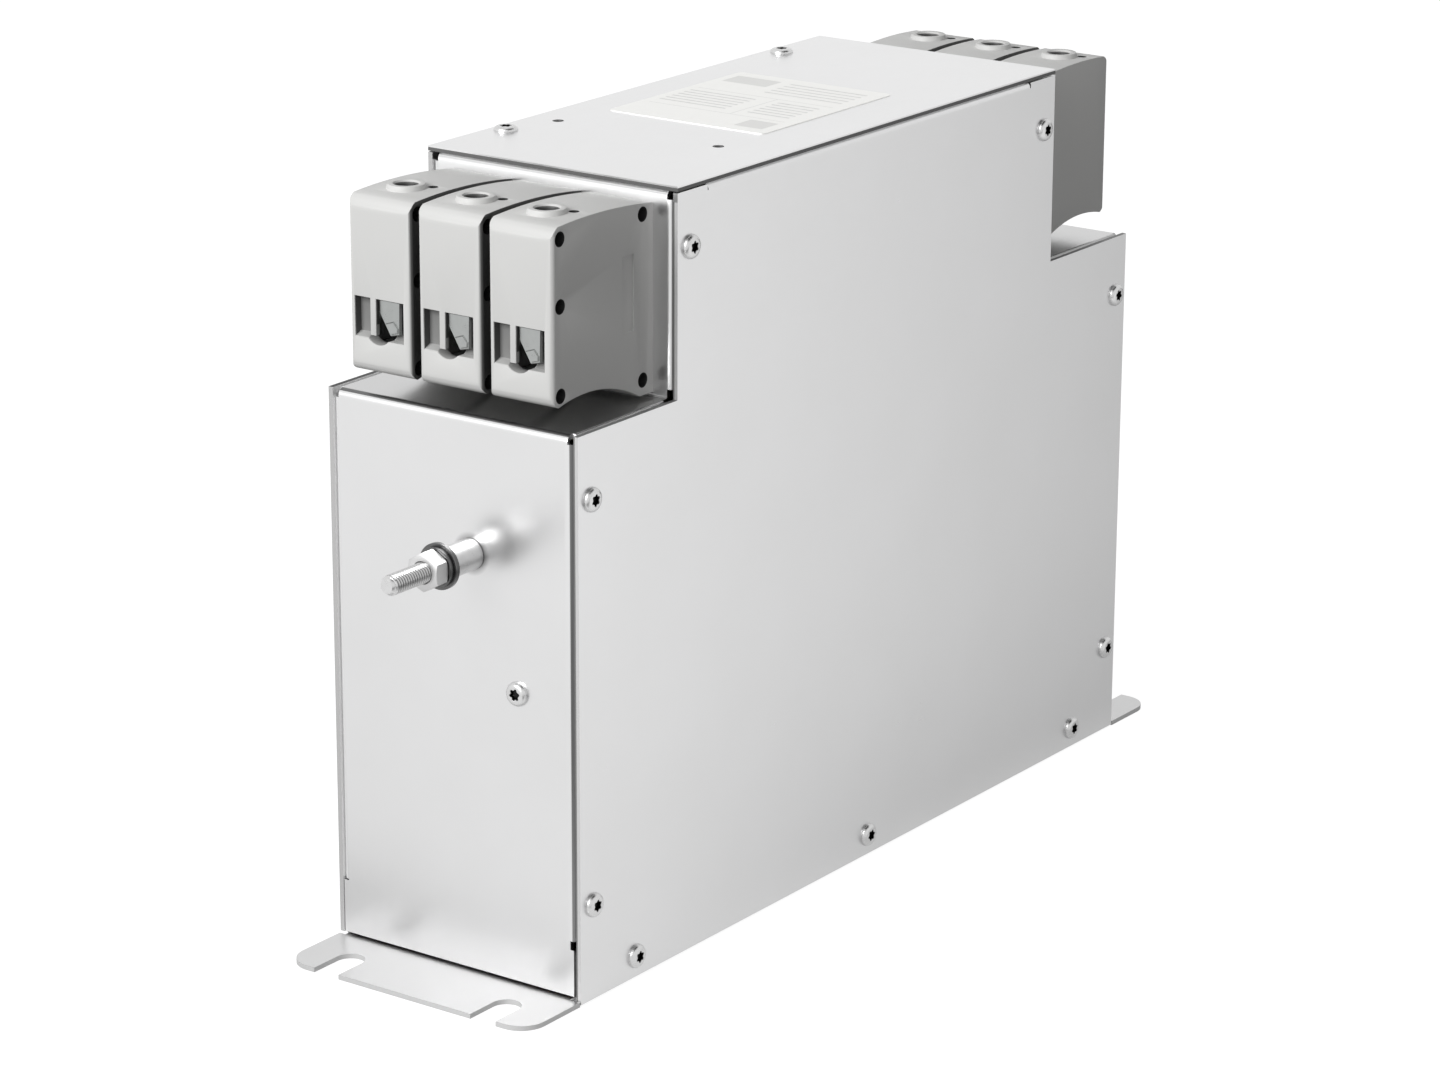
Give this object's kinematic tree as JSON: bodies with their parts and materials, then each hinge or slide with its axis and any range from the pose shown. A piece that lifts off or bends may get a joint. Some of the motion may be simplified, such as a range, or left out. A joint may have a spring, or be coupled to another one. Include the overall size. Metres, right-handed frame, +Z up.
{
  "type": "emi line filter",
  "caption": "Narrow upright EMI line filter: stepped sheet-metal housing with slotted mounting flanges, screw-clamp terminals on a ledge at each end, and earth studs.",
  "frame": {"origin": "middle of the mounting face, on the plane the filter is fastened to", "axes": "+Y along the housing from the line terminals to the load terminals, +X to the screwed side cover, +Z up from the mounting face"},
  "size_m": [0.0905, 0.364, 0.2305],
  "materials": {
    "housing_sheet": "bright zinc-coated sheet, matte",
    "label_film": "bare printed-label film, satin",
    "plated_fastener": "zinc-plated steel",
    "terminal_moulding": "light grey moulded polyamide",
    "tinned_bar": "tinned copper",
    "clamp_steel": "zinc-plated steel",
    "insulating_film": "polyester film",
    "tray_sheet": "zinc-coated sheet",
    "cradle_moulding": "black moulded polyamide",
    "core_coating": "epoxy-coated core",
    "winding_copper": "enamelled copper wire",
    "capacitor_case": "moulded capacitor case",
    "circuit_board": "lacquered glass-epoxy board",
    "resistor_body": "lacquered resistor body"
  },
  "bodies": {
    "root": {"chassis": "housing_sheet", "line_panel": "housing_sheet", "load_panel": "housing_sheet", "side_cover": "housing_sheet", "top_cover": "housing_sheet", "rating_label": "label_film", "cover_screws": "plated_fastener", "lid_screws": "plated_fastener", "panel_screws": "plated_fastener", "earth_studs": "plated_fastener", "earth_spacers": "plated_fastener", "earth_washers": "plated_fastener", "earth_lock_washers": "plated_fastener", "earth_nuts": "plated_fastener", "line_block_1": "terminal_moulding", "line_block_2": "terminal_moulding", "line_block_3": "terminal_moulding", "load_block_1": "terminal_moulding", "load_block_2": "terminal_moulding", "load_block_3": "terminal_moulding", "line_bar_1": "tinned_bar", "line_bar_2": "tinned_bar", "line_bar_3": "tinned_bar", "load_bar_1": "tinned_bar", "load_bar_2": "tinned_bar", "load_bar_3": "tinned_bar", "line_frame_1": "clamp_steel", "line_frame_2": "clamp_steel", "line_frame_3": "clamp_steel", "load_frame_1": "clamp_steel", "load_frame_2": "clamp_steel", "load_frame_3": "clamp_steel", "line_saddles": "clamp_steel", "load_saddles": "clamp_steel", "line_clamp_screws": "plated_fastener", "load_clamp_screws": "plated_fastener", "insulating_sheet": "insulating_film", "component_tray": "tray_sheet", "choke_cradles": "cradle_moulding", "line_choke_core": "core_coating", "load_choke_core": "core_coating", "line_coil_1": "winding_copper", "line_coil_2": "winding_copper", "line_coil_3": "winding_copper", "load_coil_1": "winding_copper", "load_coil_2": "winding_copper", "load_coil_3": "winding_copper", "line_capacitor_1": "capacitor_case", "line_capacitor_2": "capacitor_case", "line_capacitor_3": "capacitor_case", "load_capacitor_1": "capacitor_case", "load_capacitor_2": "capacitor_case", "load_capacitor_3": "capacitor_case", "earth_capacitor": "capacitor_case", "discharge_board": "circuit_board", "discharge_resistors": "resistor_body"}
  },
  "joints": []
}
